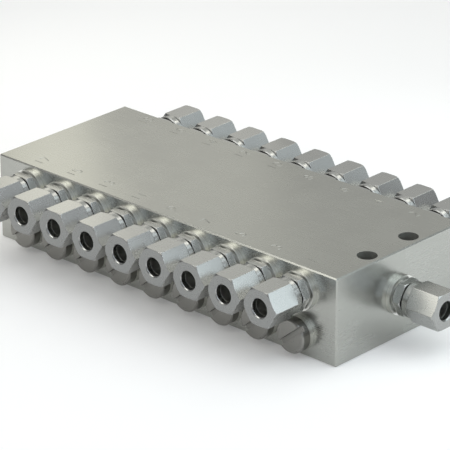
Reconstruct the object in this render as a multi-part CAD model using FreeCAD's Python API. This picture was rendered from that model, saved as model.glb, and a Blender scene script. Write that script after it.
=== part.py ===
import FreeCAD, Part
import math
import os

# Lubricant divider block, progressive type: one steel block holds a row of spool pistons that
# lie across it. Grease enters at the +X end and every piston doses two outlets, one on each
# long side. The screw fittings, the closure screws and the spools are pieces of their own.
#
# Frame: origin at the centre of the block's underside, +X towards the inlet, -Y towards the
# side with the odd port numbers, +Z up. All sizes are in millimetres.

# Block
SECTIONS = 9
PITCH = 15.0
END_MARGIN = 15.0
BLOCK_WIDTH = 60.0
BLOCK_HEIGHT = 30.0
BLOCK_CHAMFER = 0.4

# Heights of the three kinds of port above the underside
BORE_HEIGHT = 7.5
INLET_HEIGHT = 15.0
OUTLET_HEIGHT = 22.0
RETURN_HEIGHT = 17.0

# Fixing holes for M6 screws near the inlet end
FIXING_HOLE_D = 6.6
FIXING_HOLE_FROM_END = 5.0
FIXING_HOLE_SPACING = 20.0

# Threads are plain cylinders at their effective diameter: M10x1 fittings and M8x1 screws
FITTING_THREAD_D = 9.35
SCREW_THREAD_D = 7.35
THREAD_GAP = 0.02

# Spool bores and pistons
BORE_D = 6.0
LAPPED_GAP = 0.02
STROKE = 7.0
PORT_D = 2.5
NECK_D = 3.5
NECK_LAP = 0.5
STOP_D = 3.0
STOP_LENGTH = 1.0
END_PLAY = 0.05
LAND_CHAMFER = 0.2

# Drillings
GALLERY_D = 3.0
SUPPLY_ENTRY_MARGIN = 0.15
TRANSFER_D = 2.0
OUTLET_DRILL_D = 4.0
RETURN_ENTRIES = (7.5, 12.5)
PORT_RUNOUT = 1.0
PIN_D = 4.0
PIN_LENGTH = 3.0
PIN_RECESS = 0.2

# Screw fittings for 6 mm tube: seal ring, body with a hexagon, cutting ring and union nut
TUBE_D = 6.0
TUBE_GAP = 0.05
STUD_LENGTH = 8.0
PASSAGE_D = 4.0
FITTING_SEAL_D = 13.2
FITTING_SEAL_BORE = 10.0
FITTING_SEAL_THICKNESS = 1.5
WASHER_FACE_LENGTH = 0.5
WASHER_FACE_D = 10.6
BODY_FLATS = 11.0
BODY_HEX_LENGTH = 3.1
RELIEF_LENGTH = 0.5
RELIEF_D = 8.2
SPIGOT_LENGTH = 9.4
CONE_MOUTH_D = 8.0
CONE_HALF_ANGLE = 12.0
TUBE_STOP_DEPTH = 1.5
RING_NOSE = 0.25
RING_COLLAR_D = 8.4
RING_COLLAR_LENGTH = 0.8
RING_TAIL = 0.25
NUT_FLATS = 12.0
NUT_HEX_LENGTH = 11.0
NUT_COLLAR_LENGTH = 2.4
NUT_COLLAR_D = 12.0
NUT_COLLAR_CHAMFER = 0.3
NUT_MOUTH_CHAMFER = 0.4
HEX_CHAMFER_ANGLE = 30.0
HEX_FACE_SHARE = 1.03

# Closure screws of the spool bores, slotted, on a seal ring
SCREW_SHANK_LENGTH = 5.0
SCREW_HEAD_D = 11.5
SCREW_HEAD_HEIGHT = 3.4
SCREW_HEAD_CHAMFER = 0.5
SCREW_SLOT_WIDTH = 1.8
SCREW_SLOT_DEPTH = 1.7
SCREW_SLOT_ANGLE = 40.0
SCREW_SEAL_THICKNESS = 1.5
SCREW_SEAL_BORE = 8.0

# Worked out from the values above
BLOCK_LENGTH = (SECTIONS - 1) * PITCH + 2 * END_MARGIN
PORT_PITCH = STROKE
FITTING_PORT_DEPTH = STUD_LENGTH + PORT_RUNOUT
SCREW_PORT_DEPTH = SCREW_SHANK_LENGTH + PORT_RUNOUT / 2
TUBE_BORE_R = TUBE_D / 2 + TUBE_GAP
BODY_HEX_START = FITTING_SEAL_THICKNESS + WASHER_FACE_LENGTH
BODY_HEX_END = BODY_HEX_START + BODY_HEX_LENGTH
NUT_START = BODY_HEX_END + RELIEF_LENGTH
NUT_HEX_START = NUT_START + NUT_COLLAR_LENGTH
NUT_END = NUT_HEX_START + NUT_HEX_LENGTH
SPIGOT_END = NUT_START + SPIGOT_LENGTH

UP = FreeCAD.Vector(0, 0, 1)
NEAR = FreeCAD.Vector(0, -1, 0)
FAR = FreeCAD.Vector(0, 1, 0)
INLET_WAY = FreeCAD.Vector(1, 0, 0)


def section_x(number):
    """X of section 1, 2, ... counted from the inlet end."""
    return BLOCK_LENGTH / 2 - END_MARGIN - (number - 1) * PITCH


def turned(outline):
    """Solid turned about Z from (radius, height) corners."""
    corners = [FreeCAD.Vector(radius, 0, height) for radius, height in outline]
    face = Part.Face(Part.makePolygon(corners + corners[:1]))
    return face.revolve(FreeCAD.Vector(0, 0, 0), UP, 360)


def hexagon(across_flats, start, end):
    """Hexagonal bar along Z with two of its flats facing +Y and -Y."""
    corner_radius = across_flats / math.sqrt(3)
    turns = [math.radians(60 * corner) for corner in range(7)]
    corners = [FreeCAD.Vector(corner_radius * math.cos(a), corner_radius * math.sin(a), start) for a in turns]
    return Part.Face(Part.makePolygon(corners)).extrude(UP * (end - start))


def chamfered_hexagon(across_flats, start, end):
    """Hexagonal bar whose corners are turned down at both ends."""
    corner_radius = across_flats / math.sqrt(3)
    face_radius = across_flats / 2 * HEX_FACE_SHARE
    fall = (corner_radius - face_radius) * math.tan(math.radians(HEX_CHAMFER_ANGLE))
    blank = turned([
        (0, start),
        (face_radius, start),
        (corner_radius, start + fall),
        (corner_radius, end - fall),
        (face_radius, end),
        (0, end),
    ])
    return hexagon(across_flats, start, end).common(blank)


def ring(outer_d, inner_d, start, end):
    """Plain ring about Z."""
    return turned([
        (inner_d / 2, start),
        (outer_d / 2, start),
        (outer_d / 2, end),
        (inner_d / 2, end),
    ])


def drilling(start, end, diameter):
    """Cylinder from one point to another, for a hole."""
    way = end - start
    return Part.makeCylinder(diameter / 2, way.Length, start, way)


def at_port(shape, mouth, outward):
    """Copy of a shape made about Z, moved so that Z points out of a port of the block."""
    across = UP.cross(outward)
    moved = shape.copy()
    moved.Placement = FreeCAD.Placement(mouth, FreeCAD.Rotation(across, UP, outward, "ZYX"))
    return moved


def outlet_mouth(number, outward):
    """Centre of an outlet port on the block's side."""
    return FreeCAD.Vector(section_x(number), outward.y * BLOCK_WIDTH / 2, OUTLET_HEIGHT)


def bore_mouth(number, outward):
    """Centre of a spool bore on the block's side."""
    return FreeCAD.Vector(section_x(number), outward.y * BLOCK_WIDTH / 2, BORE_HEIGHT)


def inlet_mouth():
    """Centre of the inlet port on the block's end."""
    return FreeCAD.Vector(BLOCK_LENGTH / 2, 0, INLET_HEIGHT)


def closed_ends():
    """Mouth and inward way of every drilling that a pressed pin closes."""
    ends = []
    for number in range(1, SECTIONS + 1):
        for side in (-1, 1):
            ends.append((FreeCAD.Vector(section_x(number), side * 2 * PORT_PITCH, 0), UP))
    for side in (-1, 1):
        ends.append((FreeCAD.Vector(section_x(1), side * PORT_PITCH, 0), UP))
        ends.append((FreeCAD.Vector(-BLOCK_LENGTH / 2, side * PORT_PITCH, RETURN_HEIGHT), INLET_WAY))
    ends.append((FreeCAD.Vector(-BLOCK_LENGTH / 2, 0, BORE_HEIGHT), INLET_WAY))
    return ends


def outlet_drillings(number, outward):
    """Upright drilling from the spool bore and the level one that meets it from the port."""
    mouth = outlet_mouth(number, outward)
    foot = FreeCAD.Vector(mouth.x, outward.y * 2 * PORT_PITCH, 0)
    head = FreeCAD.Vector(mouth.x, foot.y, OUTLET_HEIGHT)
    past = head - outward * (PORT_D / 2 + PORT_RUNOUT / 2)
    return [drilling(foot, head, PORT_D), drilling(mouth, past, OUTLET_DRILL_D)]


def transfer_drilling(number, outward):
    """Oblique drilling from a closure port to the transfer port of the next section outwards."""
    mouth = bore_mouth(number, outward)
    wall = section_x(number + 1) + BORE_D / 2
    return drilling(mouth, FreeCAD.Vector(wall, outward.y * PORT_PITCH, BORE_HEIGHT), TRANSFER_D)


def return_drillings(side, entry):
    """Line from a transfer port of the first section to the opposite end of the last bore."""
    first_x = section_x(1)
    last_x = section_x(SECTIONS)
    height = FreeCAD.Vector(0, 0, RETURN_HEIGHT)
    foot = FreeCAD.Vector(first_x, side * PORT_PITCH, 0)
    blind_end = FreeCAD.Vector(-BLOCK_LENGTH / 2, side * PORT_PITCH, 0)
    other_end = FreeCAD.Vector(last_x, -side * BLOCK_WIDTH / 2, BORE_HEIGHT)
    meeting = FreeCAD.Vector(last_x - entry, side * PORT_PITCH, 0)
    return [
        drilling(foot, foot + height, PORT_D),
        drilling(blind_end + height, foot + height, PORT_D),
        drilling(other_end, meeting + height, TRANSFER_D),
    ]


def supply_drillings():
    """Gallery through the middle of every spool bore, and the oblique way from the inlet port."""
    blind_end = FreeCAD.Vector(-BLOCK_LENGTH / 2, 0, BORE_HEIGHT)
    first_bore = FreeCAD.Vector(section_x(1), 0, BORE_HEIGHT)
    lift = FITTING_THREAD_D / 2 - GALLERY_D / 2 - SUPPLY_ENTRY_MARGIN
    entry = inlet_mouth() + UP * lift
    return [drilling(blind_end, first_bore, GALLERY_D), drilling(entry, first_bore, GALLERY_D)]


def manifold_block():
    """The block with its ports, spool bores, drillings and fixing holes."""
    corner = FreeCAD.Vector(-BLOCK_LENGTH / 2, -BLOCK_WIDTH / 2, 0)
    block = Part.makeBox(BLOCK_LENGTH, BLOCK_WIDTH, BLOCK_HEIGHT, corner)
    block = block.makeChamfer(BLOCK_CHAMFER, block.Edges)
    fitting_hole_d = FITTING_THREAD_D + 2 * THREAD_GAP
    screw_hole_d = SCREW_THREAD_D + 2 * THREAD_GAP
    holes = []
    for number in range(1, SECTIONS + 1):
        holes.append(drilling(bore_mouth(number, NEAR), bore_mouth(number, FAR), BORE_D))
        for outward in (NEAR, FAR):
            outlet = outlet_mouth(number, outward)
            screw = bore_mouth(number, outward)
            holes.append(drilling(outlet, outlet - outward * FITTING_PORT_DEPTH, fitting_hole_d))
            holes.append(drilling(screw, screw - outward * SCREW_PORT_DEPTH, screw_hole_d))
            holes += outlet_drillings(number, outward)
            if number < SECTIONS:
                holes.append(transfer_drilling(number, outward))
    inlet = inlet_mouth()
    holes.append(drilling(inlet, inlet - INLET_WAY * FITTING_PORT_DEPTH, fitting_hole_d))
    holes += supply_drillings()
    for side, entry in zip((-1, 1), RETURN_ENTRIES):
        holes += return_drillings(side, entry)
    for mouth, inward in closed_ends():
        holes.append(drilling(mouth, mouth + inward * (PIN_LENGTH + PIN_RECESS), PIN_D))
    for side in (-1, 1):
        foot = FreeCAD.Vector(BLOCK_LENGTH / 2 - FIXING_HOLE_FROM_END, side * FIXING_HOLE_SPACING / 2, 0)
        holes.append(drilling(foot, foot + UP * BLOCK_HEIGHT, FIXING_HOLE_D))
    return block.cut(holes)


def sealing_pins():
    """Pressed pins in the mouths of the drillings."""
    pins = [drilling(mouth + inward * PIN_RECESS, mouth + inward * (PIN_LENGTH + PIN_RECESS), PIN_D)
            for mouth, inward in closed_ends()]
    return Part.makeCompound(pins)


def piston(number):
    """Spool with three lands and two necks, at the near end of its stroke."""
    land = BORE_D / 2 - LAPPED_GAP
    neck = NECK_D / 2
    stop = STOP_D / 2
    half_travel = STROKE / 2
    tip = BLOCK_WIDTH / 2 - SCREW_SHANK_LENGTH - END_PLAY - half_travel
    end = tip - STOP_LENGTH
    neck_length = PORT_PITCH + PORT_D - 2 * NECK_LAP
    neck_inner = PORT_PITCH - neck_length / 2
    neck_outer = PORT_PITCH + neck_length / 2
    half = [
        (neck, neck_inner),
        (neck, neck_outer),
        (land, neck_outer),
        (land, end - LAND_CHAMFER),
        (land - LAND_CHAMFER, end),
        (stop, end),
        (stop, tip),
    ]
    upper = [(land, neck_inner)] + half + [(0, tip)]
    lower = [(radius, -height) for radius, height in reversed(upper)]
    spool = turned(lower + upper)
    middle = FreeCAD.Vector(section_x(number), -half_travel, BORE_HEIGHT)
    return at_port(spool, middle, FAR)


def fitting_body():
    """Screw-in body: stud, washer face, hexagon, thread relief and spigot with a 24 degree cone."""
    thread = FITTING_THREAD_D / 2
    cone_length = (CONE_MOUTH_D / 2 - TUBE_BORE_R) / math.tan(math.radians(CONE_HALF_ANGLE))
    socket_end = SPIGOT_END - cone_length
    outside = turned([
        (0, -STUD_LENGTH),
        (thread, -STUD_LENGTH),
        (thread, FITTING_SEAL_THICKNESS),
        (WASHER_FACE_D / 2, FITTING_SEAL_THICKNESS),
        (WASHER_FACE_D / 2, BODY_HEX_START),
        (0, BODY_HEX_START),
    ])
    spigot = turned([
        (0, BODY_HEX_END),
        (RELIEF_D / 2, BODY_HEX_END),
        (RELIEF_D / 2, NUT_START),
        (thread, NUT_START),
        (thread, SPIGOT_END),
        (0, SPIGOT_END),
    ])
    inside = turned([
        (0, -STUD_LENGTH),
        (PASSAGE_D / 2, -STUD_LENGTH),
        (PASSAGE_D / 2, socket_end - TUBE_STOP_DEPTH),
        (TUBE_BORE_R, socket_end - TUBE_STOP_DEPTH),
        (TUBE_BORE_R, socket_end),
        (CONE_MOUTH_D / 2, SPIGOT_END),
        (0, SPIGOT_END),
    ])
    hexagon_part = chamfered_hexagon(BODY_FLATS, BODY_HEX_START, BODY_HEX_END)
    return outside.fuse([hexagon_part, spigot]).cut(inside).removeSplitter()


def cutting_ring():
    """Ring between the body's cone and the nut, which bites into the tube."""
    slope = math.tan(math.radians(CONE_HALF_ANGLE))
    nose = TUBE_BORE_R + RING_NOSE
    tail = TUBE_BORE_R + RING_TAIL
    mouth = CONE_MOUTH_D / 2
    collar = RING_COLLAR_D / 2
    collar_end = SPIGOT_END + RING_COLLAR_LENGTH
    return turned([
        (TUBE_BORE_R, SPIGOT_END - (mouth - nose) / slope),
        (nose, SPIGOT_END - (mouth - nose) / slope),
        (mouth, SPIGOT_END),
        (collar, SPIGOT_END),
        (collar, collar_end),
        (tail, collar_end + collar - tail),
        (TUBE_BORE_R, collar_end + collar - tail),
    ])


def union_nut():
    """Union nut: hexagon, round collar behind it and a 45 degree seat for the cutting ring."""
    thread = FITTING_THREAD_D / 2 + THREAD_GAP
    seat = SPIGOT_END + RING_COLLAR_LENGTH + RING_COLLAR_D / 2
    inside = turned([
        (0, NUT_START),
        (thread, NUT_START),
        (thread, seat - thread),
        (TUBE_BORE_R, seat - TUBE_BORE_R),
        (TUBE_BORE_R, NUT_END - NUT_MOUTH_CHAMFER),
        (TUBE_BORE_R + NUT_MOUTH_CHAMFER, NUT_END),
        (0, NUT_END),
    ])
    collar_r = NUT_COLLAR_D / 2
    collar = turned([
        (0, NUT_START),
        (collar_r - NUT_COLLAR_CHAMFER, NUT_START),
        (collar_r, NUT_START + NUT_COLLAR_CHAMFER),
        (collar_r, NUT_HEX_START),
        (0, NUT_HEX_START),
    ])
    return chamfered_hexagon(NUT_FLATS, NUT_HEX_START, NUT_END).fuse(collar).cut(inside).removeSplitter()


def fitting_seal():
    """Seal ring between the block and the body of a fitting."""
    return ring(FITTING_SEAL_D, FITTING_SEAL_BORE, 0, FITTING_SEAL_THICKNESS)


def closure_screw():
    """Slotted round-head screw that closes one end of a spool bore."""
    head_end = SCREW_SEAL_THICKNESS + SCREW_HEAD_HEIGHT
    head = SCREW_HEAD_D / 2
    screw = turned([
        (0, -SCREW_SHANK_LENGTH),
        (SCREW_THREAD_D / 2, -SCREW_SHANK_LENGTH),
        (SCREW_THREAD_D / 2, SCREW_SEAL_THICKNESS),
        (head, SCREW_SEAL_THICKNESS),
        (head, head_end - SCREW_HEAD_CHAMFER),
        (head - SCREW_HEAD_CHAMFER, head_end),
        (0, head_end),
    ])
    corner = FreeCAD.Vector(-head, -SCREW_SLOT_WIDTH / 2, head_end - SCREW_SLOT_DEPTH)
    slot = Part.makeBox(SCREW_HEAD_D, SCREW_SLOT_WIDTH, SCREW_SLOT_DEPTH, corner)
    slot.rotate(FreeCAD.Vector(0, 0, 0), UP, SCREW_SLOT_ANGLE)
    return screw.cut(slot)


def screw_seal():
    """Seal ring under the head of a closure screw."""
    return ring(SCREW_HEAD_D, SCREW_SEAL_BORE, 0, SCREW_SEAL_THICKNESS)


def outlets():
    """Port number, mouth and outward way of every outlet: odd numbers near, even ones far."""
    ports = []
    for number in range(1, SECTIONS + 1):
        ports.append((2 * number - 1, outlet_mouth(number, NEAR), NEAR))
        ports.append((2 * number, outlet_mouth(number, FAR), FAR))
    return ports


def build():
    """Every piece of the divider by name."""
    pieces = {"manifold_block": manifold_block(), "sealing_pins": sealing_pins()}
    for number in range(1, SECTIONS + 1):
        pieces[f"piston_{number}"] = piston(number)
    body = fitting_body()
    nut = union_nut()
    for port, mouth, outward in outlets():
        pieces[f"outlet_body_{port}"] = at_port(body, mouth, outward)
        pieces[f"outlet_nut_{port}"] = at_port(nut, mouth, outward)
    seal = fitting_seal()
    cutter = cutting_ring()
    pieces["outlet_seals"] = Part.makeCompound([at_port(seal, mouth, way) for _, mouth, way in outlets()])
    pieces["outlet_cutting_rings"] = Part.makeCompound(
        [at_port(cutter, mouth, way) for _, mouth, way in outlets()])
    inlet_pieces = {"body": body, "nut": nut, "seal": seal, "cutting_ring": cutter}
    for name, shape in inlet_pieces.items():
        pieces[f"inlet_{name}"] = at_port(shape, inlet_mouth(), INLET_WAY)
    screw = closure_screw()
    washer = screw_seal()
    for side, outward in (("near", NEAR), ("far", FAR)):
        mouths = [bore_mouth(number, outward) for number in range(1, SECTIONS + 1)]
        pieces[f"closure_screws_{side}"] = Part.makeCompound([at_port(screw, m, outward) for m in mouths])
        pieces[f"closure_seals_{side}"] = Part.makeCompound([at_port(washer, m, outward) for m in mouths])
    return pieces


os.makedirs("parts", exist_ok=True)
for piece_name, piece_shape in build().items():
    piece_shape.exportStep(f"parts/{piece_name}.step")
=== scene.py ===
"""Looks of a lubricant divider block: finishes, engraved port numbers, softened edges and studio.

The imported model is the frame. Everything here is in metres, in the same frame: the origin is at the
centre of the block's underside, +X points to the inlet, -Y to the side with the odd port numbers.
"""
import logging
import math
from dataclasses import dataclass, field
from enum import Enum

import bmesh
import bpy
from mathutils import Matrix, Vector


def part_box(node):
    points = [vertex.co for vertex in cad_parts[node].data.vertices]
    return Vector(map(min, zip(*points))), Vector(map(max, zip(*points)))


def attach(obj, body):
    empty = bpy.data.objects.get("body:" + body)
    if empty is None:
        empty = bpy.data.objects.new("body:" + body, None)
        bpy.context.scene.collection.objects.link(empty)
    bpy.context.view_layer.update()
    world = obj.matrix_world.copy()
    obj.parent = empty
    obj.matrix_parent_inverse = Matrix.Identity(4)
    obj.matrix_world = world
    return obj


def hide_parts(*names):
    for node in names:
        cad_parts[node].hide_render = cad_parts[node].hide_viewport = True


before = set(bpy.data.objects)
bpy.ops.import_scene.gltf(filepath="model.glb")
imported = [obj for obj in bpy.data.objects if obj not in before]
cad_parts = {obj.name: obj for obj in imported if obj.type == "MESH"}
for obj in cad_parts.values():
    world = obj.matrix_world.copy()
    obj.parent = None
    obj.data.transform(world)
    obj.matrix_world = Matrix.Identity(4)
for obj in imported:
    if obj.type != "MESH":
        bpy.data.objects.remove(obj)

MM = 0.001
BLOCK_BODY = "block_assembly"

# Edges sharper than the first angle stay sharp, and faces within the second one count as one flat
SMOOTH_ANGLE = math.radians(30)
FLAT_ANGLE = math.radians(0.2)
MERGE_DISTANCE = 0.001 * MM
ROUNDING_SEGMENTS = 2
# The most that a Weighted Normal modifier can favour large faces
LARGE_FACE_WEIGHT = 100

# The sRGB curve: a straight foot, then a power
BYTE_MOST = 255
FOOT_END = 0.04045
FOOT_SLOPE = 12.92
CURVE_SHIFT = 0.055
CURVE_POWER = 2.4

# Places of a node's inputs where they all have one name
FIRST, SECOND, THIRD = range(3)

# How fine the noise of each kind goes, and the part of its range that the tone and the gloss use
NOISE_ROUGHNESS = 0.6
BLOTCH_DETAIL = 4.0
GRAIN_DETAIL = 2.0
RING_DETAIL = 1.0
TONE_LOW, TONE_HIGH = 0.35, 0.65
GLOSS_LOW, GLOSS_HIGH = 0.3, 0.7
# A face is square to an axis where at least this much of its normal lies along it
SQUARE_FACING = 0.7

# A digit's cell is this wide and 1 high
GLYPH_WIDTH = 0.6
GLYPH_MIDDLE = 0.5

Tree = bpy.types.NodeTree
Socket = bpy.types.NodeSocket
Point = tuple[float, float]

log = logging.getLogger("divider")


class Axis(Enum):
    """Direction that a turned piece spins about, as the place of its coordinate."""

    X = 0
    Y = 1


class Port(Enum):
    """Kind of port, with the word that its pieces' names start with."""

    OUTLET = "outlet"
    INLET = "inlet"


class Row(Enum):
    """Row of outlets, with the record's word for its side."""

    NEAR = "near"
    FAR = "far"


def linear(colour: str) -> tuple[float, float, float, float]:
    """Turns an sRGB hex colour into linear RGBA.

    Args:
        colour: six hex digits after a hash sign.

    Returns:
        Red, green, blue and an alpha of 1.
    """
    channels = [byte / BYTE_MOST for byte in bytes.fromhex(colour[1:])]
    red, green, blue = (
        c / FOOT_SLOPE if c <= FOOT_END else ((c + CURVE_SHIFT) / (1 + CURVE_SHIFT)) ** CURVE_POWER
        for c in channels)
    return red, green, blue, 1.0


def add_node(tree: Tree, kind: str, inputs: dict[str | int, object],
             **settings: object) -> bpy.types.Node:
    """Adds one node with its settings, values and links.

    Args:
        tree: node tree that gets the node.
        kind: Blender's name for the kind of node.
        inputs: value or output socket for each input, by name, or by place where names repeat.
        settings: properties of the node itself.

    Returns:
        The new node.
    """
    made = tree.nodes.new(kind)
    for name, value in settings.items():
        setattr(made, name, value)
    for socket, value in inputs.items():
        if isinstance(value, Socket):
            tree.links.new(value, made.inputs[socket])
        else:
            made.inputs[socket].default_value = value
    return made


def empty_material(name: str) -> bpy.types.Material:
    """Makes a node material with no nodes in it.

    Args:
        name: name of the material.

    Returns:
        The new material.
    """
    made = bpy.data.materials.new(name)
    made.use_nodes = True
    made.node_tree.nodes.clear()
    return made


def shade_softly(mesh: bmesh.types.BMesh) -> None:
    """Shades a mesh smooth, apart from edges sharper than SMOOTH_ANGLE.

    Args:
        mesh: mesh to shade.
    """
    for face in mesh.faces:
        face.smooth = True
    for edge in mesh.edges:
        edge.smooth = edge.calc_face_angle(0.0) < SMOOTH_ANGLE


def merged_copy(node: str) -> bmesh.types.BMesh:
    """Copies a CAD node's mesh with its loose triangles merged into closed walls.

    Args:
        node: name of the CAD node.

    Returns:
        The merged mesh.
    """
    mesh = bmesh.new()
    mesh.from_mesh(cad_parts[node].data)
    bmesh.ops.remove_doubles(mesh, verts=mesh.verts, dist=MERGE_DISTANCE)
    return mesh


def link_mesh(name: str, mesh: bmesh.types.BMesh) -> bpy.types.Object:
    """Makes a scene object at the origin from a bmesh, and frees the bmesh.

    Args:
        name: name of the object and of its mesh.
        mesh: mesh to take over.

    Returns:
        The new object.
    """
    data = bpy.data.meshes.new(name)
    mesh.to_mesh(data)
    mesh.free()
    made = bpy.data.objects.new(name, data)
    bpy.context.scene.collection.objects.link(made)
    return made


def dress(node: str, material: bpy.types.Material) -> None:
    """Gives a CAD node a material in place of its plain one.

    Args:
        node: name of the CAD node.
        material: its finish.
    """
    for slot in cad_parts[node].material_slots:
        slot.link = "OBJECT"
        slot.material = material
    log.info("dressed %s in %s", node, material.name)


def stand_in(piece: bpy.types.Object, node: str, material: bpy.types.Material) -> None:
    """Puts a finished piece in a CAD node's place, in its material, on the block's body.

    Args:
        piece: the finished piece.
        node: name of the CAD node that it stands for.
        material: its finish.
    """
    piece.data.materials.clear()
    piece.data.materials.append(material)
    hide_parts(node)
    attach(piece, BLOCK_BODY)
    log.info("made %s with %d faces", piece.name, len(piece.data.polygons))


def softened_copy(node: str, radius: float, sharp_angle: float) -> bpy.types.Object:
    """Copies a CAD node and rounds its outer edges a little, as tumbling and plating leave them.

    Args:
        node: name of the CAD node.
        radius: width of the rounding.
        sharp_angle: least angle between two faces, in degrees, at which their edge is rounded.

    Returns:
        The rounded piece.
    """
    mesh = merged_copy(node)
    bmesh.ops.dissolve_limit(mesh, angle_limit=FLAT_ANGLE, verts=mesh.verts, edges=mesh.edges)
    outer = [edge for edge in mesh.edges
             if edge.is_convex and edge.calc_face_angle(0.0) > math.radians(sharp_angle)]
    bmesh.ops.bevel(mesh, geom=outer, offset=radius, offset_type="OFFSET", affect="EDGES",
                    segments=ROUNDING_SEGMENTS, profile=0.5, material=-1, clamp_overlap=False)
    # Sharp corners can push a rounding's point out, so no point leaves the CAD node's own box
    low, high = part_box(node)
    for vertex in mesh.verts:
        vertex.co = [min(max(value, least), most)
                     for value, least, most in zip(vertex.co, low, high)]
    shade_softly(mesh)
    piece = link_mesh("softened_" + node, mesh)
    # Large faces keep their own flat shading, and only the roundings curve
    even = piece.modifiers.new("even_flats", "WEIGHTED_NORMAL")
    even.keep_sharp = True
    even.weight = LARGE_FACE_WEIGHT
    return piece


@dataclass(frozen=True)
class Metal:
    """A metal whose surface is read from its tool marks and from slow changes of its plating.

    Attributes:
        name: the real finish, which names the material.
        light, dark: the two tones that the surface changes between.
        roughness, roughness_spread: middle of the roughness, and how far it goes either way.
        blotch_mm: size of the slow changes.
        mark_width_mm, mark_depth_mm: width and depth of the tool marks.
        mark_share: how much of the tone and the gloss follows the marks, from 0 to 1. The rest
            follows the slow changes.
    """

    name: str
    light: str
    dark: str
    roughness: float
    roughness_spread: float
    blotch_mm: float
    mark_width_mm: float
    mark_depth_mm: float
    mark_share: float

    def material(self) -> bpy.types.Material:
        """Builds the finish.

        Returns:
            The finish as a node material.
        """
        made = empty_material(self.name)
        tree = made.node_tree
        place = add_node(tree, "ShaderNodeTexCoord", {}).outputs["Object"]
        marks = self.marks(tree, place)
        blotches = add_node(tree, "ShaderNodeTexNoise", {
            "Vector": place, "Scale": 1 / (self.blotch_mm * MM), "Detail": BLOTCH_DETAIL,
            "Roughness": NOISE_ROUGHNESS}).outputs[0]
        shade = add_node(tree, "ShaderNodeMix", {
            "Factor": self.mark_share, "A": blotches, "B": marks}).outputs[0]
        contrast = add_node(tree, "ShaderNodeMapRange", {
            "Value": shade, "From Min": TONE_LOW, "From Max": TONE_HIGH}).outputs[0]
        gloss = self.gloss(tree, place, shade)
        bump = add_node(tree, "ShaderNodeBump", {
            "Height": marks, "Strength": 1.0, "Distance": self.mark_depth_mm * MM}).outputs[0]
        metal = add_node(tree, "ShaderNodeBsdfPrincipled", {
            "Base Color": self.tone(tree, contrast), "Metallic": 1.0, "Roughness": gloss,
            "Normal": bump})
        add_node(tree, "ShaderNodeOutputMaterial", {"Surface": metal.outputs[0]})
        return made

    def tone(self, tree: Tree, contrast: Socket) -> Socket:
        """Colour between the finish's two tones.

        Args:
            tree: the material's node tree.
            contrast: 0 where the surface is dark, 1 where it is light.

        Returns:
            The colour.
        """
        return add_node(tree, "ShaderNodeMix", {
            "Factor": contrast, "A": linear(self.dark), "B": linear(self.light)},
            data_type="RGBA").outputs["Result"]

    def gloss(self, tree: Tree, place: Socket, shade: Socket) -> Socket:
        """Roughness, which changes a little with the shade.

        Args:
            tree: the material's node tree.
            place: Object coordinates, for a finish with more than one kind of surface.
            shade: noise that the tone follows too.

        Returns:
            The roughness.
        """
        return add_node(tree, "ShaderNodeMapRange", {
            "Value": shade, "From Min": GLOSS_LOW, "From Max": GLOSS_HIGH,
            "To Min": self.roughness - self.roughness_spread,
            "To Max": self.roughness + self.roughness_spread}).outputs[0]

    def marks(self, tree: Tree, place: Socket) -> Socket:
        """Height of the tool marks: a fine even grain unless the finish has marks of its own."""
        return self.drawn_out(tree, place, (self.mark_width_mm,) * 3)

    def drawn_out(self, tree: Tree, place: Socket,
                  sizes_mm: tuple[float, float, float]) -> Socket:
        """Noise whose grains have a given size along each axis.

        Args:
            tree: the material's node tree.
            place: Object coordinates.
            sizes_mm: the size of a grain along X, Y and Z.

        Returns:
            The noise.
        """
        scale = [1 / (size * MM) for size in sizes_mm]
        stretched = add_node(tree, "ShaderNodeMapping", {"Vector": place, "Scale": scale})
        return add_node(tree, "ShaderNodeTexNoise", {
            "Vector": stretched.outputs[0], "Scale": 1.0, "Detail": GRAIN_DETAIL,
            "Roughness": NOISE_ROUGHNESS}).outputs[0]

    def square_to(self, tree: Tree, axis: Axis) -> Socket:
        """Tells the faces that stand square to an axis from the others.

        Args:
            tree: the material's node tree.
            axis: the axis.

        Returns:
            1 on the faces square to the axis, 0 on the others.
        """
        normal = add_node(tree, "ShaderNodeNewGeometry", {}).outputs["True Normal"]
        parts = add_node(tree, "ShaderNodeSeparateXYZ", {"Vector": normal})
        facing = add_node(tree, "ShaderNodeMath", {
            FIRST: parts.outputs[axis.value]}, operation="ABSOLUTE")
        return add_node(tree, "ShaderNodeMath", {
            FIRST: facing.outputs[0], SECOND: SQUARE_FACING}, operation="GREATER_THAN").outputs[0]


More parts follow.
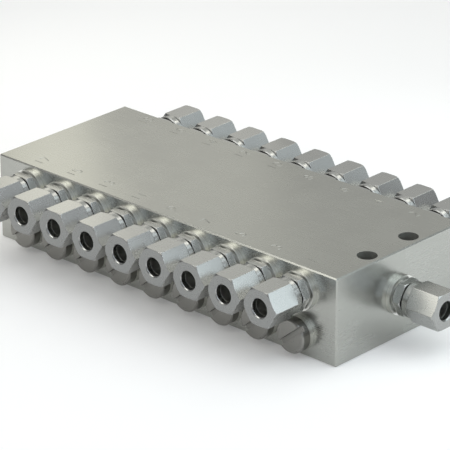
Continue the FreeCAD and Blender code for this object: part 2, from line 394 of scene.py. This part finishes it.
@dataclass(frozen=True)
class GroundZincSteel(Metal):
    """Steel ground flat on every side under a thin bright zinc coat.

    The wheel's marks run along the block, and across its two ends. To the eye they are a faint
    grain in a soft satin sheen, which blurs the fittings' reflections. The walls of the two fixing
    holes are as the drill left them, so they are dull and catch a little light instead of mirroring
    the dark.
    """

    mark_length_mm: float = 26.0
    # X of both fixing holes, and how far each one's centre is from the block's middle line
    hole_place_mm: Point = (70.0, 10.0)
    # A hair more than the holes' 3.3 mm, to take in their walls
    hole_radius_mm: float = 3.31
    hole_roughness: float = 0.5

    def gloss(self, tree: Tree, place: Socket, shade: Socket) -> Socket:
        """The ground faces' roughness, and that of the drilled walls of the two fixing holes.

        Args:
            tree: the material's node tree.
            place: Object coordinates.
            shade: noise that the tone follows too.

        Returns:
            The roughness.
        """
        parts = add_node(tree, "ShaderNodeSeparateXYZ", {"Vector": place}).outputs
        sideways = add_node(tree, "ShaderNodeMath", {FIRST: parts["Y"]}, operation="ABSOLUTE")
        flat = add_node(tree, "ShaderNodeCombineXYZ", {
            "X": parts["X"], "Y": sideways.outputs[0]})
        hole_x, hole_y = self.hole_place_mm
        away = add_node(tree, "ShaderNodeVectorMath", {
            FIRST: flat.outputs[0], SECOND: (hole_x * MM, hole_y * MM, 0.0)}, operation="DISTANCE")
        inside = add_node(tree, "ShaderNodeMath", {
            FIRST: away.outputs["Value"], SECOND: self.hole_radius_mm * MM}, operation="LESS_THAN")
        return add_node(tree, "ShaderNodeMix", {
            "Factor": inside.outputs[0], "A": super().gloss(tree, place, shade),
            "B": self.hole_roughness}).outputs[0]

    def marks(self, tree: Tree, place: Socket) -> Socket:
        """Height of the wheel's marks: straight lines, turned a quarter on the two ends.

        Args:
            tree: the material's node tree.
            place: Object coordinates.

        Returns:
            The height.
        """
        width, length = self.mark_width_mm, self.mark_length_mm
        along = self.drawn_out(tree, place, (length, width, width))
        across = self.drawn_out(tree, place, (width, length, width))
        return add_node(tree, "ShaderNodeMix", {
            "Factor": self.square_to(tree, Axis.X), "A": along, "B": across}).outputs[0]


@dataclass(frozen=True)
class TurnedMetal(Metal):
    """Metal turned on a lathe from drawn bar, plated or plain.

    Its flats keep the faint lines of the drawing die, along the bar, and the faces square to the
    lathe's axis have fine rings. To the eye the flats are bright and smooth. The cut faces are
    coloured a shade darker, which is painted shade, not a finish of their own.

    Attributes:
        cut_face: colour of the faces square to the lathe's axis.
        axis, axis_height_mm: the lathe's axis, and its height above the block's underside.
        pitch_mm: distance from one piece of a row to the next.
        mark_length_mm: length of the drawing die's lines.
    """

    # Colour of the cut faces, darker than the flats: painted shade
    cut_face: str
    axis: Axis = Axis.Y
    axis_height_mm: float = 0.0
    pitch_mm: float = 15.0
    mark_length_mm: float = 7.0

    def marks(self, tree: Tree, place: Socket) -> Socket:
        """Height of the marks: lines along the bar, and rings on the faces square to it.

        Args:
            tree: the material's node tree.
            place: Object coordinates.

        Returns:
            The height.
        """
        sizes = [self.mark_width_mm] * 3
        sizes[self.axis.value] = self.mark_length_mm
        lines = self.drawn_out(tree, place, tuple(sizes))
        return add_node(tree, "ShaderNodeMix", {
            "Factor": self.square_to(tree, self.axis), "A": lines,
            "B": self.rings(tree, place)}).outputs[0]

    def tone(self, tree: Tree, contrast: Socket) -> Socket:
        """The flats' colour, and on the faces that the lathe cut a darker colour, which is painted
        shade.

        Args:
            tree: the material's node tree.
            contrast: 0 where the flats are dark, 1 where they are light.

        Returns:
            The colour.
        """
        # The cut faces get their own darker colour, which is painted shade
        return add_node(tree, "ShaderNodeMix", {
            "Factor": self.square_to(tree, self.axis), "A": super().tone(tree, contrast),
            "B": linear(self.cut_face)}, data_type="RGBA").outputs["Result"]

    def rings(self, tree: Tree, place: Socket) -> Socket:
        """Rings about the piece's own axis, which repeats along the block at the pitch.

        Args:
            tree: the material's node tree.
            place: Object coordinates.

        Returns:
            The rings' height.
        """
        centred = add_node(tree, "ShaderNodeMapping", {
            "Vector": place, "Location": (0.0, 0.0, -self.axis_height_mm * MM)})
        parts = add_node(tree, "ShaderNodeSeparateXYZ", {"Vector": centred.outputs[0]}).outputs
        if self.axis is Axis.X:
            sideways = parts["Y"]
        else:
            half = self.pitch_mm / 2 * MM
            sideways = add_node(tree, "ShaderNodeMath", {
                FIRST: parts["X"], SECOND: half, THIRD: -half}, operation="WRAP").outputs[0]
        flat = add_node(tree, "ShaderNodeCombineXYZ", {"X": sideways, "Z": parts["Z"]})
        radius = add_node(tree, "ShaderNodeVectorMath", {
            FIRST: flat.outputs[0]}, operation="LENGTH")
        return add_node(tree, "ShaderNodeTexNoise", {
            "W": radius.outputs["Value"], "Scale": 1 / (self.mark_width_mm * MM),
            "Detail": RING_DETAIL}, noise_dimensions="1D").outputs[0]


@dataclass(frozen=True)
class LappedSteel(Metal):
    """Hardened steel, ground and then lapped into its own bore.

    To the eye it is nearly a mirror, with hair lines around it that show only where light grazes
    it.
    """

    # Length of a hair line, in its own widths
    slenderness: float = 20.0

    def marks(self, tree: Tree, place: Socket) -> Socket:
        """Height of the hair lines around the piston, which lies along Y.

        Args:
            tree: the material's node tree.
            place: Object coordinates.

        Returns:
            The height.
        """
        width = self.mark_width_mm
        length = self.slenderness * width
        return self.drawn_out(tree, place, (length, width, length))


# Real grinding, drawing and turning marks are under 0.1 mm wide, too fine to show. All the marks
# below are drawn coarser, about as wide as they need to be to show at all
GROUND_BLOCK = GroundZincSteel(
    "ground_zinc_plated_steel", "#b4b5b0", "#adaea9", roughness=0.27, roughness_spread=0.02,
    blotch_mm=14.0, mark_width_mm=0.45, mark_depth_mm=0.00008, mark_share=0.35)
# Pins pressed in and ground off with the block: the same sheen, a shade darker as bare steel is
GROUND_PIN = Metal(
    "ground_bare_steel", "#a0a09c", "#959591", roughness=0.32, roughness_spread=0.05,
    blotch_mm=3.0, mark_width_mm=0.3, mark_depth_mm=0.002, mark_share=0.5)
# The unions' bright zinc coat is smooth, so their flats are light and even. The darker colour
# of their cut faces, darkest at the tube ends of the outlets' nuts, is painted shade
OUTLET_FITTING = TurnedMetal(
    "turned_zinc_plated_steel", "#b9bab8", "#b5b6b4", roughness=0.27, roughness_spread=0.015,
    blotch_mm=6.0, mark_width_mm=0.35, mark_depth_mm=0.00003, mark_share=0.25, cut_face="#909190",
    axis_height_mm=22.0)
INLET_FITTING = TurnedMetal(
    "turned_zinc_plated_steel_inlet", "#b5b6b3", "#b1b2af", roughness=0.27,
    roughness_spread=0.015, blotch_mm=6.0, mark_width_mm=0.35, mark_depth_mm=0.00003,
    mark_share=0.25, cut_face="#a4a5a3", axis=Axis.X, axis_height_mm=15.0)
# The closure screws are coloured darker and a little browner than the unions, with a rougher sheen
CLOSURE_SCREW = TurnedMetal(
    "turned_dull_zinc_plated_steel", "#8f8e8a", "#858480", roughness=0.30, roughness_spread=0.04,
    blotch_mm=5.0, mark_width_mm=0.35, mark_depth_mm=0.0012, mark_share=0.5, cut_face="#8c8b87",
    axis_height_mm=7.5)
# Cutting rings are turned bright and case-hardened. Their pale colour lights up the depth of each
# tube bore a bit, which is painted light
CUTTING_RING = Metal(
    "case_hardened_steel_painted_light", "#e2e2de", "#d4d4d0", roughness=0.30, roughness_spread=0.04,
    blotch_mm=4.0, mark_width_mm=0.3, mark_depth_mm=0.0003, mark_share=0.5)
# Seal rings are annealed so that they yield: a paler, duller metal with a fine even grain
SOFT_SEAL = Metal(
    "annealed_soft_aluminium", "#e4e4df", "#dbdbd6", roughness=0.30, roughness_spread=0.04,
    blotch_mm=4.0, mark_width_mm=0.25, mark_depth_mm=0.0005, mark_share=0.5)
# The spools are the smoothest surface of all, and a little bluer than the plated pieces
SPOOL = LappedSteel(
    "hardened_lapped_steel", "#a6a8aa", "#9c9ea0", roughness=0.12, roughness_spread=0.03,
    blotch_mm=6.0, mark_width_mm=0.2, mark_depth_mm=0.0004, mark_share=0.5)


@dataclass(frozen=True)
class Glyph:
    """Strokes of one digit in its cell: lines and arcs that the cutter follows."""

    lines: tuple[tuple[Point, ...], ...] = ()
    # Each arc: centre x, centre y, half width, half height, start and end angle in degrees
    arcs: tuple[tuple[float, float, float, float, float, float], ...] = ()

    def paths(self, arc_steps: int) -> list[list[Point]]:
        """Draws the digit.

        Args:
            arc_steps: number of straight steps that stand for an arc.

        Returns:
            The points of each stroke.
        """
        paths = [list(line) for line in self.lines]
        for centre_x, centre_y, half_width, half_height, start, end in self.arcs:
            turns = [math.radians(start + (end - start) * step / arc_steps)
                     for step in range(arc_steps + 1)]
            paths.append([(centre_x + half_width * math.cos(turn),
                           centre_y + half_height * math.sin(turn)) for turn in turns])
        return paths


DIGITS = {
    "0": Glyph(arcs=((0.3, 0.5, 0.3, 0.5, 90, 450),)),
    "1": Glyph(lines=(((0.3, 0.0), (0.3, 1.0)),)),
    "2": Glyph(lines=(((0.546, 0.528), (0.0, 0.0), (0.6, 0.0)),),
               arcs=((0.3, 0.7, 0.3, 0.3, 160, -35),)),
    "3": Glyph(arcs=((0.28, 0.75, 0.27, 0.25, 140, -90), (0.28, 0.26, 0.31, 0.26, 90, -140))),
    "4": Glyph(lines=(((0.46, 0.0), (0.46, 1.0), (0.0, 0.3), (0.6, 0.3)),)),
    "5": Glyph(lines=(((0.54, 1.0), (0.1, 1.0), (0.06, 0.52)),),
               arcs=((0.27, 0.31, 0.31, 0.31, 135, -140),)),
    "6": Glyph(arcs=((0.3, 0.29, 0.29, 0.29, 0, 360), (0.72, 0.29, 0.71, 0.71, 180, 105))),
    "7": Glyph(lines=(((0.0, 1.0), (0.6, 1.0), (0.18, 0.0)),)),
    "8": Glyph(arcs=((0.3, 0.76, 0.24, 0.24, 90, 450), (0.3, 0.26, 0.29, 0.26, 90, 450))),
    "9": Glyph(arcs=((0.3, 0.71, 0.29, 0.29, 0, 360), (-0.12, 0.71, 0.71, 0.71, 0, -75))),
}


@dataclass
class PortNumbers:
    """Numbers cut beside the outlets with a small ball cutter, read from the inlet end.

    Attributes:
        height: height of a digit.
        digit_step: from one digit to the next, in digit heights.
        cutter_radius, cutter_lift: the cutter's radius, and its centre's height above the face.
        near_inset, far_inset: from each long edge of the block to the middle of its numbers.
        arc_steps: number of straight steps that stand for an arc.
        cutter_roundness: how finely the cutter's round section is divided.
    """

    height: float = 3.6 * MM
    digit_step: float = 0.85
    cutter_radius: float = 0.32 * MM
    cutter_lift: float = 0.22 * MM
    near_inset: float = 5.6 * MM
    far_inset: float = 5.2 * MM
    arc_steps: int = 14
    cutter_roundness: int = 6

    def places(self) -> dict[int, Point]:
        """Finds where the numbers stand: odd ones on the near side, even ones on the far side.

        Returns:
            Centre of each number on the top face, by port number.
        """
        low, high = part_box("manifold_block")
        places = {}
        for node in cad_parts:
            if node.startswith("outlet_nut_"):
                number = int(node.rsplit("_", 1)[1])
                nut_low, nut_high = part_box(node)
                y = low.y + self.near_inset if number % 2 else high.y - self.far_inset
                places[number] = ((nut_low.x + nut_high.x) / 2, y)
        return places

    def strokes(self, number: int) -> list[list[Point]]:
        """Draws one number.

        Args:
            number: the port number.

        Returns:
            The points of each stroke, across and up from the number's centre in digit heights.
        """
        text = str(number)
        width = self.digit_step * (len(text) - 1) + GLYPH_WIDTH
        strokes = []
        for position, digit in enumerate(text):
            start = self.digit_step * position - width / 2
            for path in DIGITS[digit].paths(self.arc_steps):
                strokes.append([(start + across, up - GLYPH_MIDDLE) for across, up in path])
        return strokes

    def cutter(self, top: float) -> bpy.types.Object:
        """Makes tubes along every stroke, to be cut out of the block.

        Args:
            top: height of the block's top face.

        Returns:
            The tubes as one mesh object, each tube closed.
        """
        curve = bpy.data.curves.new("number_strokes", "CURVE")
        curve.dimensions = "3D"
        curve.bevel_depth = self.cutter_radius
        curve.bevel_resolution = self.cutter_roundness
        curve.use_fill_caps = True
        for number, (x, y) in self.places().items():
            for stroke in self.strokes(number):
                spline = curve.splines.new("POLY")
                spline.points.add(len(stroke) - 1)
                for point, (across, up) in zip(spline.points, stroke):
                    point.co = (x - up * self.height, y + across * self.height,
                                top + self.cutter_lift, 1.0)
        drawn = bpy.data.objects.new("number_strokes", curve)
        bpy.context.scene.collection.objects.link(drawn)
        bpy.context.view_layer.update()
        tubes = bmesh.new()
        tubes.from_mesh(bpy.data.meshes.new_from_object(drawn))
        bpy.data.objects.remove(drawn)
        bmesh.ops.remove_doubles(tubes, verts=tubes.verts, dist=MERGE_DISTANCE)
        bmesh.ops.recalc_face_normals(tubes, faces=tubes.faces)
        return link_mesh("number_cutter", tubes)


@dataclass
class DividerBlock:
    """The ground steel block with its engraved port numbers, its sealing pins and its spools."""

    finish: Metal = GROUND_BLOCK
    pin_finish: Metal = GROUND_PIN
    spool_finish: Metal = SPOOL
    numbers: PortNumbers = field(default_factory=PortNumbers)

    def build(self) -> None:
        """Engraves the block, and dresses it with what is inside."""
        stand_in(self.engraved(), "manifold_block", self.finish.material())
        dress("sealing_pins", self.pin_finish.material())
        spool_steel = self.spool_finish.material()
        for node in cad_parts:
            if node.startswith("piston_"):
                dress(node, spool_steel)

    def engraved(self) -> bpy.types.Object:
        """Copies the block and cuts the numbers into its top.

        Returns:
            The engraved block.
        """
        block = link_mesh("engraved_block", merged_copy("manifold_block"))
        cutter = self.numbers.cutter(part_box("manifold_block")[1].z)
        engraving = block.modifiers.new("numbers", "BOOLEAN")
        engraving.object = cutter
        engraving.operation = "DIFFERENCE"
        engraving.solver = "EXACT"
        # The strokes of a digit cross one another
        engraving.use_self = True
        bpy.context.view_layer.update()
        cut = bmesh.new()
        cut.from_mesh(block.evaluated_get(bpy.context.evaluated_depsgraph_get()).to_mesh())
        block.modifiers.clear()
        bpy.data.objects.remove(cutter)
        shade_softly(cut)
        cut.to_mesh(block.data)
        cut.free()
        return block


@dataclass
class Fittings:
    """Screw-in bodies, union nuts, cutting rings and seal rings of the outlets or of the inlet."""

    port: Port
    finish: TurnedMetal
    seal_finish: Metal = SOFT_SEAL
    ring_finish: Metal = CUTTING_RING
    edge_radius: float = 0.14 * MM
    # Flats of the hexagons meet at 60 degrees, their end chamfers at about 30
    sharp_angle: float = 25.0

    def build(self) -> None:
        """Rounds the edges of nuts and bodies, and dresses the rings."""
        steel = self.finish.material()
        seal = self.seal_finish.material()
        ring = self.ring_finish.material()
        word = self.port.value
        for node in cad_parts:
            if node.startswith((word + "_nut", word + "_body")):
                piece = softened_copy(node, self.edge_radius, self.sharp_angle)
                stand_in(piece, node, steel)
            elif node.startswith(word + "_seal"):
                dress(node, seal)
            elif node.startswith(word + "_cutting"):
                dress(node, ring)


@dataclass
class ClosureScrews:
    """Slotted screws that close the spool bores of one row, each on its seal ring."""

    row: Row
    finish: Metal = CLOSURE_SCREW
    seal_finish: Metal = SOFT_SEAL
    edge_radius: float = 0.12 * MM
    sharp_angle: float = 40.0

    def build(self) -> None:
        """Rounds the screws' edges and dresses their seal rings."""
        node = "closure_screws_" + self.row.value
        piece = softened_copy(node, self.edge_radius, self.sharp_angle)
        stand_in(piece, node, self.finish.material())
        dress("closure_seals_" + self.row.value, self.seal_finish.material())


@dataclass(frozen=True)
class SoftBox:
    """A rectangle of soft light that faces the object.

    Attributes:
        name: name of the lamp.
        heading, elevation: where it hangs, in degrees from +X and from the floor.
        distance: how far it is from the block's middle.
        width, height: its size.
        brightness: how bright its face is in a mirror, where 1 is white.
        colour: its colour.
    """

    name: str
    heading: float
    elevation: float
    distance: float
    width: float
    height: float
    brightness: float
    colour: str

    def build(self, target: Vector) -> None:
        """Hangs the soft box at its heading and elevation.

        Args:
            target: point that it faces.
        """
        data = bpy.data.lights.new(self.name, "AREA")
        data.shape = "RECTANGLE"
        data.size = self.width
        data.size_y = self.height
        data.energy = self.brightness * math.pi * self.width * self.height
        data.color = linear(self.colour)[:3]
        made = bpy.data.objects.new(self.name, data)
        bpy.context.scene.collection.objects.link(made)
        heading = math.radians(self.heading)
        elevation = math.radians(self.elevation)
        way = Vector((math.cos(heading) * math.cos(elevation),
                      math.sin(heading) * math.cos(elevation), math.sin(elevation)))
        made.location = target + way * self.distance
        made.rotation_euler = way.to_track_quat("Z", "Y").to_euler()


@dataclass
class Camera:
    """The photograph's view: a long lens above the corner of the near side and the inlet end.

    Attributes:
        azimuth, elevation, roll: its direction from the origin and its tilt, in degrees.
        focal_length, sensor_width: the lens and the sensor, in millimetres.
        distance: how far it is from the origin.
        aim_right, aim_up: how far the middle of the view is from the origin.
        nearest, farthest: the range of distances that it sees.
    """

    azimuth: float = 42.93
    elevation: float = 23.53
    roll: float = -0.13
    focal_length: float = 250.28
    sensor_width: float = 36.0
    distance: float = 1034.26 * MM
    aim_right: float = 0.26 * MM
    aim_up: float = 15.08 * MM
    nearest: float = 0.01
    farthest: float = 20.0

    def build(self) -> None:
        """Makes the camera and sets it as the scene's."""
        data = bpy.data.cameras.new("photo_view")
        data.lens = self.focal_length
        data.sensor_width = self.sensor_width
        data.clip_start = self.nearest
        data.clip_end = self.farthest
        made = bpy.data.objects.new("photo_view", data)
        bpy.context.scene.collection.objects.link(made)
        azimuth = math.radians(self.azimuth)
        elevation = math.radians(self.elevation)
        back = Vector((math.sin(azimuth) * math.cos(elevation),
                       -math.cos(azimuth) * math.cos(elevation), math.sin(elevation)))
        level = Vector((math.cos(azimuth), math.sin(azimuth), 0.0))
        roll = Matrix.Rotation(math.radians(self.roll), 3, back)
        right = roll @ level
        up = roll @ back.cross(level)
        place = right * self.aim_right + up * self.aim_up + back * self.distance
        turn = Matrix((right, up, back)).transposed().to_4x4()
        made.matrix_world = Matrix.Translation(place) @ turn
        bpy.context.scene.camera = made


@dataclass
class Studio:
    """Pale floor, even sky and soft boxes."""

    floor_colour: str = "#fafafa"
    floor_size: float = 12.0
    # How far the floor goes towards white for the eye and in reflections, from 0 to 1
    floor_glow: float = 0.12
    sky_colour: str = "#ffffff"
    sky_brightness: float = 0.30
    # Each box hangs where the photograph's sheen on the block, the nuts or the collars comes from
    boxes: tuple[SoftBox, ...] = (
        SoftBox("inlet_high_sheet", 0.0, 50.0, 0.7, 0.30, 0.30, 1.28, "#e6f7ff"),
        SoftBox("inlet_side_box", 8.0, 22.0, 0.7, 0.20, 0.28, 0.45, "#ffffff"),
        SoftBox("inlet_side_sheet", 15.0, 24.0, 0.8, 0.60, 0.35, 0.72, "#f3f8ff"),
        SoftBox("inlet_near_box", 17.0, 17.0, 0.22, 0.10, 0.10, 1.20, "#eafaff"),
        SoftBox("back_right_sheet", 45.0, 50.0, 0.7, 0.30, 0.30, 1.38, "#edfbff"),
        SoftBox("back_near_box", 68.0, 22.0, 0.175, 0.10, 0.10, 0.46, "#ebfaff"),
        SoftBox("back_spark_box", 87.0, 48.0, 0.7, 0.16, 0.16, 2.2, "#fffdf4"),
        SoftBox("back_middle_box", 105.0, 24.0, 0.175, 0.10, 0.10, 0.16, "#ffffff"),
        SoftBox("back_sheet", 110.0, 40.0, 0.9, 0.80, 0.50, 0.27, "#fdfff0"),
        SoftBox("back_left_box", 140.0, 25.0, 0.3, 0.12, 0.12, 0.44, "#fffdf5"),
        SoftBox("blind_end_box", 160.0, 30.0, 0.25, 0.12, 0.12, 0.66, "#fffcea"),
        SoftBox("front_high_sheet", 240.0, 50.0, 0.7, 0.30, 0.30, 1.50, "#fffef8"),
        SoftBox("front_left_sheet", 245.0, 35.0, 0.8, 0.50, 0.50, 1.60, "#fffdf5"),
        SoftBox("front_spark_box", 259.0, 23.0, 0.7, 0.14, 0.20, 1.10, "#fffdf6"),
        SoftBox("front_right_box", 315.0, 22.0, 0.7, 0.20, 0.28, 1.38, "#e9f4ff"),
        SoftBox("front_right_sheet", 315.0, 50.0, 0.7, 0.30, 0.30, 0.95, "#dfeeff"),
        SoftBox("overhead_sheet", 0.0, 88.0, 0.9, 1.00, 1.00, 1.12, "#ffffff"),
    )

    def build(self) -> None:
        """Sets up floor, sky and soft boxes."""
        mesh = bmesh.new()
        bmesh.ops.create_grid(mesh, x_segments=1, y_segments=1, size=self.floor_size / 2)
        floor = link_mesh("studio_floor", mesh)
        floor.data.materials.append(self.floor_material())
        world = bpy.data.worlds.new("studio_sky")
        world.use_nodes = True
        sky = world.node_tree.nodes["Background"]
        sky.inputs["Color"].default_value = linear(self.sky_colour)
        sky.inputs["Strength"].default_value = self.sky_brightness
        bpy.context.scene.world = world
        low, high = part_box("manifold_block")
        for box in self.boxes:
            box.build((low + high) / 2)

    def floor_material(self) -> bpy.types.Material:
        """Matt pale paint that keeps the shadow, a little nearer to white for eye and metal.

        Returns:
            The floor's material.
        """
        made = empty_material("matt_pale_floor")
        tree = made.node_tree
        path = add_node(tree, "ShaderNodeLightPath", {}).outputs
        mirrored = add_node(tree, "ShaderNodeMath", {
            FIRST: path["Is Glossy Ray"], SECOND: path["Is Transmission Ray"]}, operation="ADD")
        seen = add_node(tree, "ShaderNodeMath", {
            FIRST: path["Is Camera Ray"], SECOND: mirrored.outputs[0]},
            operation="ADD", use_clamp=True)
        share = add_node(tree, "ShaderNodeMath", {
            FIRST: seen.outputs[0], SECOND: self.floor_glow}, operation="MULTIPLY")
        paint = add_node(tree, "ShaderNodeBsdfDiffuse", {"Color": linear(self.floor_colour)})
        white = add_node(tree, "ShaderNodeEmission", {"Strength": 1.0})
        mixed = add_node(tree, "ShaderNodeMixShader", {
            "Fac": share.outputs[0], SECOND: paint.outputs[0], THIRD: white.outputs[0]})
        add_node(tree, "ShaderNodeOutputMaterial", {"Surface": mixed.outputs[0]})
        return made


def main() -> None:
    """Builds the looks in order."""
    logging.basicConfig(level=logging.INFO, format="%(message)s")
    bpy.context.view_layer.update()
    bpy.context.scene.view_settings.view_transform = "Standard"
    Camera().build()
    Studio().build()
    DividerBlock().build()
    Fittings(Port.OUTLET, OUTLET_FITTING).build()
    Fittings(Port.INLET, INLET_FITTING).build()
    for row in Row:
        ClosureScrews(row).build()


if __name__ == "__main__":
    main()
